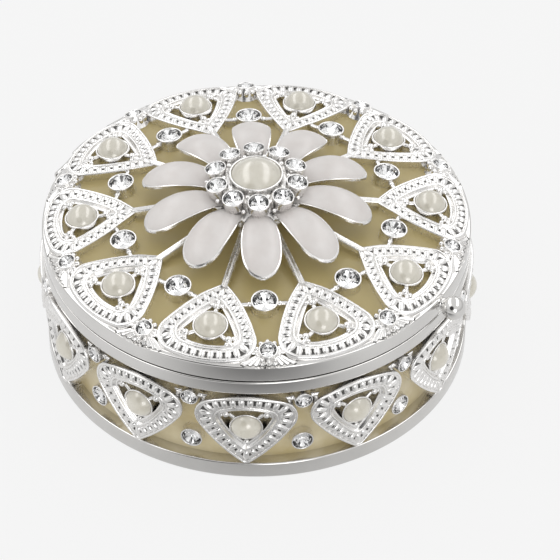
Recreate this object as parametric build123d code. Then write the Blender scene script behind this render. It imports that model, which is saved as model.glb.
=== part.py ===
from build123d import *
import os
from math import asin, cos, hypot, radians, sin

# Round pill box with a hinged lid, in millimetres. +Z up, origin at the centre of the rest face.
# The thumb ball is at the front (-Y) and the hinge at the back (+Y).

# Rings, from the table upwards
RIM_R = 27.7          # outer radius of both rim bands
FOOT_R = 27.6
FOOT_BORE_R = 25.0
FOOT_TOP = 2.4
BASE_RIM_LOW = 14.65
BASE_RIM_TOP = 16.7
COLLAR_R = 25.8       # collar on the base that centres the lid
COLLAR_TOP = 17.4
LID_LOW = 16.9
LID_BAND_TOP = 19.3
LID_BORE_R = 26.1
LEDGE_BORE_R = 25.3   # ledge inside the lid rim that the lid liner sits on
LEDGE_LOW = 18.1
LEDGE_TOP = 18.6
EDGE_ROUND = 0.25
SHOULDER_RISE = 0.3   # the lid rim rises this much from the band to its inner edge
SCOOP_R, SCOOP_DEPTH, SCOOP_REACH = 24.0, 0.15, 6.0

# Liners
LINER_R = 26.0
LINER_WALL = 0.7
LINER_TOP = 16.0
LID_LINER_R = 26.6
LID_LINER_WALL = 0.6
LID_FLAT_R = 17.6     # the lid liner is flat inside this radius and slopes outside it
LID_FLAT_TOP = 20.6
LID_EDGE_TOP = 19.2
PLATE_LOW = 0.4
PLATE_TOP = 1.4

# Openwork frames: rounded triangles made of arcs, whose legs run between two of these directions
BODY_FRAMES = 12
LID_FRAMES = 10
LEGS, BODY_LEGS, CORNER_END = (43.0, 62.0), (39.0, 57.0), 160.0
APEX_ROUND, CORNER_ROUND = 0.8, 2.7
HOLE_APEX_ROUND, HOLE_CORNER_ROUND = 0.5, 1.2
LID_FRAME_HALF, LID_HOLE_HALF = 6.35, 3.7
LID_APEX_R, LID_HOLE_APEX_R = 15.5, 18.4
BODY_FRAME_HALF, BODY_HOLE_HALF = 6.6, 3.6
BODY_APEX_Z, BODY_HOLE_APEX_Z = 3.05, 5.8
BODY_FRAME_R = 28.2   # outer face of the body frames, proud of the rims
FRAME_THICK = 1.2     # lid frames above the lid liner
TALL = 15.0           # height of the prisms that are trimmed to a curved layer
FRAME_LOW, FRAME_DIP_R, FRAME_DIP_TOP, FRAME_EDGE_TOP = 19.0, 24.5, 20.73, 19.77

# Pearls and stones: radius of the piece, radius of its cup
PEARL_R, PEARL_CUP_R, PEARL_RISE = 2.0, 2.25, 1.45
BODY_PEARL_R, BODY_PEARL_CUP_R, BODY_PEARL_RISE = 1.9, 2.1, 1.25
PEARL_FOOT = 0.8      # straight part of a pearl below the edge of its cup
LID_WELL_DEPTH, BODY_WELL_DEPTH = 2.0, 3.0
LID_PEARL_RING, LID_PEARL_Z = 22.5, 21.1
BODY_PEARL_RING, BODY_PEARL_Z = 27.6, 8.95
LARGE_STONE_R, LARGE_CUP_R = 1.5, 1.65
LARGE_RING, LARGE_Z, LARGE_TILT = 18.2, 21.9, 8.5
RIM_STONE_R, RIM_CUP_R = 1.0, 1.15
RIM_RING, RIM_Z, RIM_TILT = 25.9, 20.7, 19.0
CROWN_STONE_R, CROWN_CUP_R = 1.25, 1.4
CROWN_RING, CROWN_Z, CROWN_TILT = 5.45, 27.0, 12.0
UPPER_STONE_R, UPPER_CUP_R, UPPER_Z = 1.0, 1.1, 13.1
LOWER_STONE_R, LOWER_CUP_R, LOWER_Z = 1.25, 1.45, 5.5
UPPER_RING, LOWER_RING = 27.8, 27.2
LARGE_CUP_DEPTH, RIM_CUP_DEPTH, CROWN_CUP_DEPTH, BODY_CUP_DEPTH = 2.0, 2.5, 1.5, 3.0
STONE_SET = 0.12      # the girdle sits this far below the cup's edge
CUP_PLAY = 0.03
STRUT_R, STRUT_DROP = 0.3, 0.45
TIE_R, TIE_DROP, TIE_OVERLAP = 0.35, 0.8, 0.1    # bars between the stone cups and the frames
LARGE_TIE_REACH, RIM_TIE_REACH, UPPER_TIE_REACH, UPPER_TIE_RING = 3.4, 2.8, 2.6, 26.7
LID_STRUT_ENDS = [(0, 4.4), (3.3, -2.0), (-3.3, -2.0)]    # from the pearl, Y towards the flower
BODY_STRUT_ENDS = [(0, -3.9), (3.3, 2.7), (-3.3, 2.7)]    # from the pearl, Y upwards

# Flower
PETALS = 10
PETAL_ROOT_R, PETAL_TIP_R, PETAL_HALF = 5.3, 15.2, 2.5
PETAL_FLAT_Z, PETAL_CREST_R, PETAL_CREST_Z, PETAL_TIP_Z = 24.3, 10.3, 25.5, 22.75
PETAL_THICK, ENAMEL_THICK, ENAMEL_INSET = 0.35, 0.22, 0.25
PETAL_OVERRUN = 0.5   # the arch goes on this far past the tips, and drops as much
PETAL_DISC_R, ENAMEL_ROOT_R = 6.2, 6.4
HUB_R, HUB_WAIST_R, HUB_WAIST_TOP, HUB_FLARE_TOP = 5.0, 3.2, 22.2, 22.8
RIB_R, RIB_IN_R, RIB_OUT_R, RIB_IN_Z, RIB_OUT_Z = 0.45, 4.2, 16.0, 23.3, 21.45
CROWN_BASE_R, CROWN_BASE_TOP = 4.6, 25.9
BEZEL_R, BEZEL_BORE_R, BEZEL_TOP = 3.5, 3.25, 27.3
CENTRE_PEARL_R, CENTRE_PEARL_RISE = 3.2, 1.55
CENTRE_PEARL_SET = 0.15
RIVET_R, RIVET_HEAD_R, RIVET_HEAD_H, RIVET_END = 0.8, 2.0, 0.4, 25.5

# Hinge
HINGE_Y, HINGE_Z = 28.25, 16.8
KNUCKLE_R, KNUCKLE_CLEAR_R, PIN_R, PIN_PLAY = 0.75, 0.87, 0.4, 0.04
KNUCKLE_IN, KNUCKLE_OUT, HINGE_END_PLAY = 1.6, 4.4, 0.4
LID_KNUCKLE_HALF = 1.5
LEAF_R = 28.15
BASE_LEAF_LOW, BASE_LEAF_TOP = 14.85, 16.5
LID_LEAF_LOW, LID_LEAF_TOP = 17.1, 19.1

# Thumb ball and catch
BALL_R, BALL_Y, BALL_Z = 1.55, -29.5, 18.45
NECK_R, NECK_END_R, STEM_R, STEM_END_R = 0.8, 27.5, 0.5, 26.7
CATCH_R, CATCH_Y, CATCH_Z = 0.4, -25.6, 16.9


def lathe(points, rounded_at=None):
    """Solid of revolution about Z from (radius, height) corners, rounding those at one radius."""
    section = make_face(Polyline(*points, close=True))
    if rounded_at is not None:
        corners = section.vertices().filter_by(lambda v: abs(v.X - rounded_at) < 1e-6)
        section = fillet(corners, EDGE_ROUND)
    return revolve(Plane.XZ * section, Axis.Z)


def cylinder(radius, low, high):
    return Pos(0, 0, low) * Cylinder(radius, high - low, align=(Align.CENTER, Align.CENTER, Align.MIN))


def around(piece, count, start=0.0):
    """The same piece repeated about Z, the first one turned by start degrees."""
    return [Rot(0, 0, start + i * 360.0 / count) * piece for i in range(count)]


def on_lid(ring_r, height, tilt):
    """Place on the lid in front of the centre, with its Z leaning outwards."""
    return Pos(0, -ring_r, height) * Rot(tilt, 0, 0)


def on_body(ring_r, height):
    """Place on the body in front of the centre, with its Z pointing outwards and Y up."""
    return Pos(0, -ring_r, height) * Rot(90, 0, 0)


def arc_point(first, radius, start, turn):
    """Where an arc from the first point, heading at the start angle, has turned to another angle."""
    return (first[0] + radius * (sin(turn) - sin(start)), first[1] + radius * (cos(start) - cos(turn)))


def mirrored(point):
    return (-point[0], point[1])


def rounded_triangle(half_width, apex_round, corner_round, legs=LEGS):
    """Face of a rounded triangle built of arcs, apex at the origin, wide edge towards +Y."""
    turns = [radians(t) for t in (0, *legs, CORNER_END, 180)]
    s = [sin(t) for t in turns]
    leg = (half_width - apex_round * s[1] - corner_round * (1 - s[2])) / (s[2] - s[1])
    base = (apex_round * s[1] + leg * (s[2] - s[1]) + corner_round * (s[3] - s[2])) / s[3]
    radii = [apex_round, leg, corner_round, base]
    first, arcs = (0.0, 0.0), []
    for radius, start, end in zip(radii, turns, turns[1:]):
        middle = arc_point(first, radius, start, (start + end) / 2)
        last = arc_point(first, radius, start, end)
        if end == turns[-1]:
            last = (0.0, last[1])
        arcs.append(ThreePointArc(first, middle, last))
        arcs.append(ThreePointArc(mirrored(first), mirrored(middle), mirrored(last)))
        first = last
    return make_face(Curve() + arcs)


def stone(radius):
    """Faceted round stone, girdle at Z = 0, table up."""
    girdle, crown, pavilion = 0.08 * radius, 0.36 * radius, 0.55 * radius
    outline = RegularPolygon(radius, 8)
    table = Pos(0, 0, crown) * RegularPolygon(0.58 * radius, 8, rotation=22.5)
    top = Pos(0, 0, girdle) * loft([outline, table])
    bottom = loft([Pos(0, 0, -pavilion) * RegularPolygon(0.2 * radius, 8), outline])
    return top + extrude(outline, girdle) + bottom


def stone_depth(radius):
    return STONE_SET + 0.63 * radius


def cup(outer_r, stone_r, height):
    """Round setting with its edge at Z = 0 and a flat-bottomed bore for the stone."""
    bore = cylinder(stone_r + CUP_PLAY, -stone_depth(stone_r), 1)
    return cylinder(outer_r, -height, 0) - bore


def seated_stone(radius):
    return Pos(0, 0, -STONE_SET - 0.08 * radius) * stone(radius)


def pearl(radius, rise, depth):
    """Half pearl: a dome of the given rise above Z = 0, with a straight foot below it."""
    ball_r = (radius**2 + rise**2) / (2 * rise)
    half_turn = asin(radius / ball_r) / 2
    shoulder = (ball_r * sin(half_turn), rise - ball_r + ball_r * cos(half_turn))
    section = make_face([
        Line((0, -depth), (radius, -depth)),
        Line((radius, -depth), (radius, 0)),
        ThreePointArc((radius, 0), shoulder, (0, rise)),
        Line((0, rise), (0, -depth)),
    ])
    return revolve(Plane.XZ * section, Axis.Z)


def rod(start, end, radius):
    """Round bar between two points."""
    path = Line(start, end)
    return sweep(Plane(origin=start, z_dir=path % 0) * Circle(radius), path)


def struts(ends, cup_r):
    """Bars in the plane of a pearl cup at the origin, from its wall out to the given points."""
    bars = []
    for x, y in ends:
        reach = (cup_r - TIE_OVERLAP) / hypot(x, y)
        bars.append(rod((x * reach, y * reach, -STRUT_DROP), (x, y, -STRUT_DROP), STRUT_R))
    return bars


# ---- rings, liners and plate ----

def make_foot_ring():
    corners = [(FOOT_BORE_R, 0), (FOOT_R, 0), (FOOT_R, FOOT_TOP), (FOOT_BORE_R, FOOT_TOP)]
    return lathe(corners, FOOT_R)


def make_bottom_plate():
    return cylinder(FOOT_BORE_R, PLATE_LOW, PLATE_TOP)


def make_body_liner():
    inner = cylinder(LINER_R - LINER_WALL, FOOT_TOP + LINER_WALL, LINER_TOP + 1)
    return cylinder(LINER_R, FOOT_TOP, LINER_TOP) - inner


def hinge_rod(radius, half_length):
    """Round bar on the hinge axis."""
    return Pos(0, HINGE_Y, HINGE_Z) * Rot(0, 90, 0) * Cylinder(radius, 2 * half_length)


def make_base_rim(catch):
    corners = [
        (LINER_R, BASE_RIM_LOW), (RIM_R, BASE_RIM_LOW), (RIM_R, BASE_RIM_TOP),
        (COLLAR_R, BASE_RIM_TOP), (COLLAR_R, COLLAR_TOP), (FOOT_BORE_R, COLLAR_TOP),
        (FOOT_BORE_R, LINER_TOP), (LINER_R, LINER_TOP),
    ]
    return lathe(corners, RIM_R) - hinge_rod(KNUCKLE_CLEAR_R, KNUCKLE_OUT + HINGE_END_PLAY) - catch


def shoulder_scoop():
    """Shallow round-bottomed hollow, running inwards from the band, that each rim stone stands in."""
    axis_z = LID_BAND_TOP - SCOOP_DEPTH + SCOOP_R
    return Pos(0, -RIM_R, axis_z) * Rot(90, 0, 0) * Cylinder(SCOOP_R, SCOOP_REACH)


def make_lid_rim(thumb):
    corners = [
        (LID_BORE_R, LID_LOW), (RIM_R, LID_LOW), (RIM_R, LID_BAND_TOP),
        (LID_LINER_R, LID_BAND_TOP + SHOULDER_RISE), (LID_LINER_R, LEDGE_TOP), (LEDGE_BORE_R, LEDGE_TOP),
        (LEDGE_BORE_R, LEDGE_LOW), (LID_BORE_R, LEDGE_LOW),
    ]
    scoops = around(shoulder_scoop(), LID_FRAMES, 180.0 / LID_FRAMES)
    hinge_groove = hinge_rod(KNUCKLE_CLEAR_R, KNUCKLE_OUT + HINGE_END_PLAY)
    return lathe(corners, RIM_R) - scoops - hinge_groove - thumb


def make_lid_liner(rivet):
    corners = [
        (0, LID_FLAT_TOP - LID_LINER_WALL), (LID_FLAT_R, LID_FLAT_TOP - LID_LINER_WALL),
        (LEDGE_BORE_R, LEDGE_TOP + 0.2), (LEDGE_BORE_R, LEDGE_TOP), (LID_LINER_R, LEDGE_TOP),
        (LID_LINER_R, LID_EDGE_TOP), (LID_FLAT_R, LID_FLAT_TOP), (0, LID_FLAT_TOP),
    ]
    return lathe(corners) - rivet


# ---- openwork and its settings ----

def side_tie(cup_r, reach):
    """Pair of bars along X on both sides of a cup at the origin, from its wall out to the reach."""
    bar = Rot(0, 90, 0) * Cylinder(TIE_R, 2 * reach)
    return bar - Box(2 * (cup_r - TIE_OVERLAP), 2, 2)


def pearl_well(place, radius, cup_r, depth):
    """Pearl cup at a place, and the bore that its pearl stands in, open to the outside."""
    return place * cylinder(cup_r, -depth, 0), place * cylinder(radius + CUP_PLAY, -PEARL_FOOT, PEARL_RISE)


def body_frame_sector():
    """One body frame with its pearl cup, struts and the stone cup beside it, and the pearl's bore."""
    plane = Plane(origin=(0, -LINER_R, 0), x_dir=(1, 0, 0), z_dir=(0, -1, 0))
    outer = Pos(0, BODY_APEX_Z) * rounded_triangle(BODY_FRAME_HALF, APEX_ROUND, CORNER_ROUND, BODY_LEGS)
    hole = Pos(0, BODY_HOLE_APEX_Z) * rounded_triangle(BODY_HOLE_HALF, HOLE_APEX_ROUND, HOLE_CORNER_ROUND)
    skin = cylinder(BODY_FRAME_R, 0, BASE_RIM_LOW)
    frame = extrude(plane * (outer - hole), amount=4, both=True) & skin
    place = on_body(BODY_PEARL_RING, BODY_PEARL_Z)
    well, bore = pearl_well(place, BODY_PEARL_R, BODY_PEARL_CUP_R, BODY_WELL_DEPTH)
    bars = [place * bar for bar in struts(BODY_STRUT_ENDS, BODY_PEARL_CUP_R)]
    gap = Rot(0, 0, 180.0 / BODY_FRAMES)
    setting = gap * on_body(UPPER_RING, UPPER_Z) * cup(UPPER_CUP_R, UPPER_STONE_R, BODY_CUP_DEPTH)
    ties = gap * Pos(0, -UPPER_TIE_RING, UPPER_Z) * side_tie(UPPER_CUP_R, UPPER_TIE_REACH)
    return [frame, well, *bars, setting, ties], bore


def make_body_filigree():
    sector, bore = body_frame_sector()
    pieces = []
    for item in sector:
        pieces += around(item, BODY_FRAMES)
    return pieces[0].fuse(*pieces[1:]) - around(bore, BODY_FRAMES) - cylinder(LINER_R, 0, COLLAR_TOP)


def frame_zone():
    """Space under the top face of the lid frames, which dips at its outer edge."""
    top = LID_FLAT_TOP + FRAME_THICK
    return lathe([
        (0, LID_LOW), (RIM_R, LID_LOW), (RIM_R, FRAME_EDGE_TOP), (FRAME_DIP_R, FRAME_DIP_TOP),
        (LID_FLAT_R, top), (0, top),
    ])


def below_lid_liner():
    """Space under the top face of the lid liner."""
    return lathe([
        (0, LID_LOW), (LID_LINER_R, LID_LOW), (LID_LINER_R, LID_EDGE_TOP), (LID_FLAT_R, LID_FLAT_TOP),
        (0, LID_FLAT_TOP),
    ])


def lid_frame_sector():
    """One lid frame with its pearl cup, struts, rib and two stone cups beside it, and the pearl's bore."""
    outer = Pos(0, LID_APEX_R) * rounded_triangle(LID_FRAME_HALF, APEX_ROUND, CORNER_ROUND)
    hole = rounded_triangle(LID_HOLE_HALF, HOLE_APEX_ROUND, HOLE_CORNER_ROUND)
    outline = Rot(0, 0, 180) * (outer - Pos(0, LID_HOLE_APEX_R) * hole)
    frame = extrude(Pos(0, 0, FRAME_LOW) * outline, TALL) & frame_zone()
    place = on_lid(LID_PEARL_RING, LID_PEARL_Z, LARGE_TILT)
    well, bore = pearl_well(place, PEARL_R, PEARL_CUP_R, LID_WELL_DEPTH)
    bars = [place * bar for bar in struts(LID_STRUT_ENDS, PEARL_CUP_R)]
    rib = rod((0, -RIB_IN_R, RIB_IN_Z), (0, -RIB_OUT_R, RIB_OUT_Z), RIB_R)
    gap = Rot(0, 0, 180.0 / LID_FRAMES)
    large = gap * on_lid(LARGE_RING, LARGE_Z, LARGE_TILT) * cup(LARGE_CUP_R, LARGE_STONE_R, LARGE_CUP_DEPTH)
    small = gap * on_lid(RIM_RING, RIM_Z, RIM_TILT) * cup(RIM_CUP_R, RIM_STONE_R, RIM_CUP_DEPTH)
    return [frame, well, *bars, rib, large, small, *lid_ties(gap)], bore


def lid_ties(gap):
    """Short bars that tie the stone cups to the frames on both sides."""
    return [
        gap * Pos(0, -LARGE_RING, LARGE_Z - TIE_DROP) * side_tie(LARGE_CUP_R, LARGE_TIE_REACH),
        gap * Pos(0, -RIM_RING, RIM_Z - TIE_DROP) * side_tie(RIM_CUP_R, RIM_TIE_REACH),
    ]


def make_hub():
    """Waisted pedestal that carries the flower above the lid liner."""
    top = PETAL_FLAT_Z - PETAL_THICK
    return lathe([
        (0, LID_LOW), (HUB_WAIST_R, LID_LOW), (HUB_WAIST_R, HUB_WAIST_TOP), (HUB_R, HUB_FLARE_TOP),
        (HUB_R, top), (0, top),
    ])


def make_lid_filigree(rim, rivet):
    sector, bore = lid_frame_sector()
    pieces = []
    for item in sector:
        pieces += around(item, LID_FRAMES)
    return make_hub().fuse(*pieces) - around(bore, LID_FRAMES) - below_lid_liner() - rim - rivet


# ---- flower ----

def petal_edge(offset):
    """Profile of the petals at an offset from their top surface, level at the root and arched outside."""
    root = (PETAL_ROOT_R, PETAL_FLAT_Z + offset)
    end = (PETAL_TIP_R + PETAL_OVERRUN, PETAL_TIP_Z - PETAL_OVERRUN + offset)
    return [Line((0, root[1]), root), ThreePointArc(root, (PETAL_CREST_R, PETAL_CREST_Z + offset), end)]


def petal_layer(low, high):
    """Shell between two offsets from the petals' top surface."""
    bottom, top = petal_edge(low), petal_edge(high)
    sides = [Line(bottom[0] @ 0, top[0] @ 0), Line(bottom[1] @ 1, top[1] @ 1)]
    return revolve(Plane.XZ * make_face(bottom + top + sides), Axis.Z)


def petal_outline(inset):
    """Ovate outline in front of the centre, narrow at the root and widest near the tip."""
    span = PETAL_TIP_R - PETAL_ROOT_R
    shape = [(0.0, 0.5), (0.3, 0.8), (0.62, 1.0), (0.88, 0.68)]
    side = [(half * PETAL_HALF - inset, -(PETAL_ROOT_R + along * span)) for along, half in shape]
    tip = (0, -(PETAL_TIP_R - inset))
    other = [(-x, y) for x, y in reversed(side)]
    edge = Spline(*side, tip, *other)
    return make_face([edge, Line(edge @ 1, edge @ 0)])


def make_petal_plate(rivet):
    outlines = around(petal_outline(0), PETALS, 180.0 / PETALS)
    plan = Circle(PETAL_DISC_R) + outlines
    return (extrude(Pos(0, 0, LID_LOW) * plan, TALL) & petal_layer(-PETAL_THICK, 0)) - rivet


def make_petal_enamel():
    plan = petal_outline(ENAMEL_INSET) - Circle(ENAMEL_ROOT_R)
    inlay = extrude(Pos(0, 0, LID_LOW) * plan, TALL) & petal_layer(0, ENAMEL_THICK)
    return around(inlay, PETALS, 180.0 / PETALS)


def make_flower_crown(rivet):
    """Round bezel for the centre pearl inside a ring of stone cups, on one base."""
    base = cylinder(CROWN_BASE_R, PETAL_FLAT_Z, CROWN_BASE_TOP)
    bezel = cylinder(BEZEL_R, CROWN_BASE_TOP, BEZEL_TOP)
    setting = on_lid(CROWN_RING, CROWN_Z, CROWN_TILT) * cup(CROWN_CUP_R, CROWN_STONE_R, CROWN_CUP_DEPTH)
    cups = around(setting, PETALS, 180.0 / PETALS)
    bore = cylinder(BEZEL_BORE_R, CROWN_BASE_TOP, TALL + BEZEL_TOP)
    return (base.fuse(bezel, *cups) - bore) - rivet


def make_centre_pearl():
    seat = BEZEL_TOP - CENTRE_PEARL_SET
    return Pos(0, 0, seat) * pearl(CENTRE_PEARL_R, CENTRE_PEARL_RISE, seat - CROWN_BASE_TOP)


def make_rivet():
    """Rivet that holds the flower and the openwork to the lid liner, headed underneath."""
    head_z = LID_FLAT_TOP - LID_LINER_WALL
    return cylinder(RIVET_HEAD_R, head_z - RIVET_HEAD_H, head_z) + cylinder(RIVET_R, head_z, RIVET_END)


# ---- hinge, thumb ball and catch ----

def leaf_band(half_width, low, high):
    """Strip of the ring just outside the rims at the back, the hinge leaf's plate."""
    ring = cylinder(LEAF_R, low, high) - cylinder(RIM_R, low - 1, high + 1)
    return ring & (Pos(0, RIM_R, (low + high) / 2) * Box(2 * half_width, 6, high - low))


def knuckle(start, end):
    middle = (start + end) / 2
    barrel = Cylinder(KNUCKLE_R, end - start) - Cylinder(PIN_R + PIN_PLAY, end - start + 1)
    return Pos(middle, HINGE_Y, HINGE_Z) * Rot(0, 90, 0) * barrel


def make_base_leaf():
    plate = leaf_band(KNUCKLE_OUT, BASE_LEAF_LOW, BASE_LEAF_TOP) - hinge_rod(KNUCKLE_CLEAR_R, KNUCKLE_IN)
    plate -= hinge_rod(PIN_R + PIN_PLAY, KNUCKLE_OUT + 1)
    return plate + knuckle(KNUCKLE_IN, KNUCKLE_OUT) + knuckle(-KNUCKLE_OUT, -KNUCKLE_IN)


def make_lid_leaf():
    plate = leaf_band(LID_KNUCKLE_HALF, LID_LEAF_LOW, LID_LEAF_TOP) - hinge_rod(PIN_R + PIN_PLAY, 5)
    return plate + knuckle(-LID_KNUCKLE_HALF, LID_KNUCKLE_HALF)


def make_thumb_ball():
    stem = Pos(0, 0, BALL_Z) * Rot(90, 0, 0) * cylinder(STEM_R, STEM_END_R, -BALL_Y)
    neck = Pos(0, 0, BALL_Z) * Rot(90, 0, 0) * cylinder(NECK_R, NECK_END_R, -BALL_Y)
    return Pos(0, BALL_Y, BALL_Z) * Sphere(BALL_R) + stem + neck


def make_catch():
    return Pos(0, CATCH_Y, CATCH_Z) * Sphere(CATCH_R)


def all_parts():
    rivet, thumb, catch = make_rivet(), make_thumb_ball(), make_catch()
    rim = make_lid_rim(thumb)
    body_gap = 180.0 / BODY_FRAMES
    lid_gap = 180.0 / LID_FRAMES
    lower_cup = on_body(LOWER_RING, LOWER_Z) * cup(LOWER_CUP_R, LOWER_STONE_R, BODY_CUP_DEPTH)
    lower_cup -= cylinder(LINER_R, 0, COLLAR_TOP)
    body_pearl = on_body(BODY_PEARL_RING, BODY_PEARL_Z) * pearl(BODY_PEARL_R, BODY_PEARL_RISE, PEARL_FOOT)
    lid_pearl = on_lid(LID_PEARL_RING, LID_PEARL_Z, LARGE_TILT) * pearl(PEARL_R, PEARL_RISE, PEARL_FOOT)
    upper = on_body(UPPER_RING, UPPER_Z) * seated_stone(UPPER_STONE_R)
    lower = on_body(LOWER_RING, LOWER_Z) * seated_stone(LOWER_STONE_R)
    large = on_lid(LARGE_RING, LARGE_Z, LARGE_TILT) * seated_stone(LARGE_STONE_R)
    small = on_lid(RIM_RING, RIM_Z, RIM_TILT) * seated_stone(RIM_STONE_R)
    crown = on_lid(CROWN_RING, CROWN_Z, CROWN_TILT) * seated_stone(CROWN_STONE_R)
    return {
        "foot_ring": make_foot_ring(),
        "bottom_plate": make_bottom_plate(),
        "body_liner": make_body_liner(),
        "base_rim": make_base_rim(catch),
        "body_filigree": make_body_filigree(),
        "lower_stone_cups": around(lower_cup, BODY_FRAMES, body_gap),
        "body_pearls": around(body_pearl, BODY_FRAMES),
        "body_upper_stones": around(upper, BODY_FRAMES, body_gap),
        "body_lower_stones": around(lower, BODY_FRAMES, body_gap),
        "base_hinge_leaf": make_base_leaf(),
        "hinge_pin": hinge_rod(PIN_R, KNUCKLE_OUT),
        "catch_bead": catch,
        "lid_rim": rim,
        "lid_liner": make_lid_liner(rivet),
        "lid_filigree": make_lid_filigree(rim, rivet),
        "lid_pearls": around(lid_pearl, LID_FRAMES),
        "lid_large_stones": around(large, LID_FRAMES, lid_gap),
        "lid_rim_stones": around(small, LID_FRAMES, lid_gap),
        "petal_plate": make_petal_plate(rivet),
        "petal_enamel": make_petal_enamel(),
        "flower_crown": make_flower_crown(rivet),
        "crown_stones": around(crown, PETALS, 180.0 / PETALS),
        "centre_pearl": make_centre_pearl(),
        "flower_rivet": rivet,
        "lid_hinge_leaf": make_lid_leaf(),
        "thumb_ball": thumb,
    }


os.makedirs("parts", exist_ok=True)
for node, shape in all_parts().items():
    body = Compound(children=shape) if isinstance(shape, list) else shape
    export_step(body, os.path.join("parts", node + ".step"))
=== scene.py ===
from math import asin, atan2, cos, degrees, hypot, pi, radians, sin, sqrt

import bmesh
import bpy
import numpy as np
from mathutils import Matrix, Vector


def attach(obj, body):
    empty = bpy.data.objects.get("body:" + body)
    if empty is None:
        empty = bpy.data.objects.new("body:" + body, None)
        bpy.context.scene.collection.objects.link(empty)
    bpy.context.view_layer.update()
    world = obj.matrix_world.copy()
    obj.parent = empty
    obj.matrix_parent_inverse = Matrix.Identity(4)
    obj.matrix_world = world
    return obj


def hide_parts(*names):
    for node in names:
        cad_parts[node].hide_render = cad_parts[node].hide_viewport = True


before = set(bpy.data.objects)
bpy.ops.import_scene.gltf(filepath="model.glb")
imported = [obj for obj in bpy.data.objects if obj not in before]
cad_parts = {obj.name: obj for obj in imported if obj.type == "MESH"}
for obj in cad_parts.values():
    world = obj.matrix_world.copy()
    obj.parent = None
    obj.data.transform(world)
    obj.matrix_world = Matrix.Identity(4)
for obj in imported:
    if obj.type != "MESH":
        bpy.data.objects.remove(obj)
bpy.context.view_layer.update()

# Round pill box with a hinged lid. Sizes here are in millimetres, as in the CAD model, and the
# meshes are written in metres. +Z is up, the thumb ball is at -Y and the hinge at +Y.
MM = 0.001

# Rings and liners
RIM_R, FOOT_R, FOOT_BORE_R, FOOT_TOP = 27.7, 27.6, 25.0, 2.4
BASE_RIM_LOW, BASE_RIM_TOP, COLLAR_R, COLLAR_TOP = 14.65, 16.7, 25.8, 17.4
LID_LOW, LID_BAND_TOP, LID_BORE_R = 16.9, 19.3, 26.1
LEDGE_BORE_R, LEDGE_LOW, LEDGE_TOP = 25.3, 18.1, 18.6
SHOULDER_RISE, SCOOP_R, SCOOP_DEPTH, SCOOP_HALF = 0.3, 24.0, 0.15, 7.0
LINER_R, LINER_TOP = 26.0, 16.0
LID_LINER_R, LID_LINER_WALL, LID_FLAT_R, LID_FLAT_TOP, LID_EDGE_TOP = 26.6, 0.6, 17.6, 20.6, 19.2

# Openwork frames: rounded triangles. Their outline turns from 0 degrees at the apex to 180 at the middle of
# the wide edge: a leg is the arc between the two turns in LEGS, and the corner ends at CORNER_END.
BODY_FRAMES, LID_FRAMES = 12, 10
LEGS, BODY_LEGS, CORNER_END = (43.0, 62.0), (39.0, 57.0), 160.0
APEX_ROUND, CORNER_ROUND, HOLE_APEX_ROUND, HOLE_CORNER_ROUND = 0.8, 2.7, 0.5, 1.2
LID_FRAME_HALF, LID_HOLE_HALF, LID_APEX_R, LID_HOLE_APEX_R = 6.35, 3.75, 15.5, 18.4
BODY_FRAME_HALF, BODY_HOLE_HALF, BODY_APEX_Z, BODY_HOLE_APEX_Z = 6.6, 3.65, 3.05, 5.8
LID_EDGES = (LID_FRAME_HALF, LEGS, LID_HOLE_HALF, LID_HOLE_APEX_R - LID_APEX_R, 1.06)
BODY_EDGES = (BODY_FRAME_HALF, BODY_LEGS, BODY_HOLE_HALF, BODY_HOLE_APEX_Z - BODY_APEX_Z, 1.0)
BODY_FRAME_R = 28.2
FRAME_TOP, FRAME_DIP_R, FRAME_DIP_TOP, FRAME_EDGE_TOP = 21.8, 24.5, 20.73, 19.77

# Across a frame's band: a wire along the outer edge, a beaded channel with a groove down its middle that is
# painted dark as shade, a lip, and a lower lip round the hole. Shares count across the band from its outer
# edge.
WIRE_R, CHANNEL_DROP, CHANNEL_SLOPE, GROOVE_DROP = 0.19, 0.2, 0.03, 0.26
LIP_R, LIP_AWAY, LIP_DROP, LOW_LIP_R, LOW_LIP_DROP = 0.17, 0.357, 0.1, 0.2, 0.42
GROOVE_WALL, LEG_GROOVE, WIDE_GROOVE = 0.02, (0.38, 0.57), (0.22, 0.6)    # shares
GROOVE_TURN, GROOVE_BLEND = 108.0, 15.0    # the groove is at its widest from this turn on
BEAD_ROW, BEAD_PITCH, BEAD_TOP, BEAD_SQUARE = 0.46, 1.1, 0.05, 0.9
BEAD_ALONG, BEAD_ACROSS, BEAD_UP = 0.48, 0.34, 0.44    # half sizes, the middle one as a share

# Pearls, stones and their settings
LID_PEARL_R, LID_PEARL_RISE, BODY_PEARL_R, BODY_PEARL_RISE = 2.0, 1.45, 1.9, 1.25
PEARL_WALL, PEARL_SEAT, PEARL_FOOT, LID_WELL_DEPTH, BODY_WELL_DEPTH = 0.24, 0.75, 0.7, 1.5, 1.9
LID_PEARL_RING, LID_PEARL_Z, BODY_PEARL_RING, BODY_PEARL_Z = 22.5, 21.1, 27.6, 8.95
LARGE_STONE_R, LARGE_CUP_R, LARGE_RING, LARGE_Z, LARGE_TILT = 1.5, 1.75, 18.2, 21.9, 8.5
RIM_STONE_R, RIM_CUP_R, RIM_RING, RIM_Z, RIM_TILT = 1.0, 1.2, 25.9, 20.7, 19.0
CROWN_STONE_R, CROWN_CUP_R, CROWN_RING, CROWN_Z, CROWN_TILT = 1.25, 1.42, 5.45, 27.0, 12.0
UPPER_STONE_R, UPPER_CUP_R, UPPER_RING, UPPER_Z = 1.0, 1.15, 27.8, 13.1
LOWER_STONE_R, LOWER_CUP_R, LOWER_RING, LOWER_Z = 1.25, 1.45, 27.2, 5.5
STONE_SET, STONE_PLAY, STRUT_R, STRUT_DROP, PRONG_R = 0.12, 0.02, 0.3, 0.45, 0.5
TIE_R, TIE_BALL_R, TIE_ROOT = 0.32, 0.42, 0.15
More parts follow.
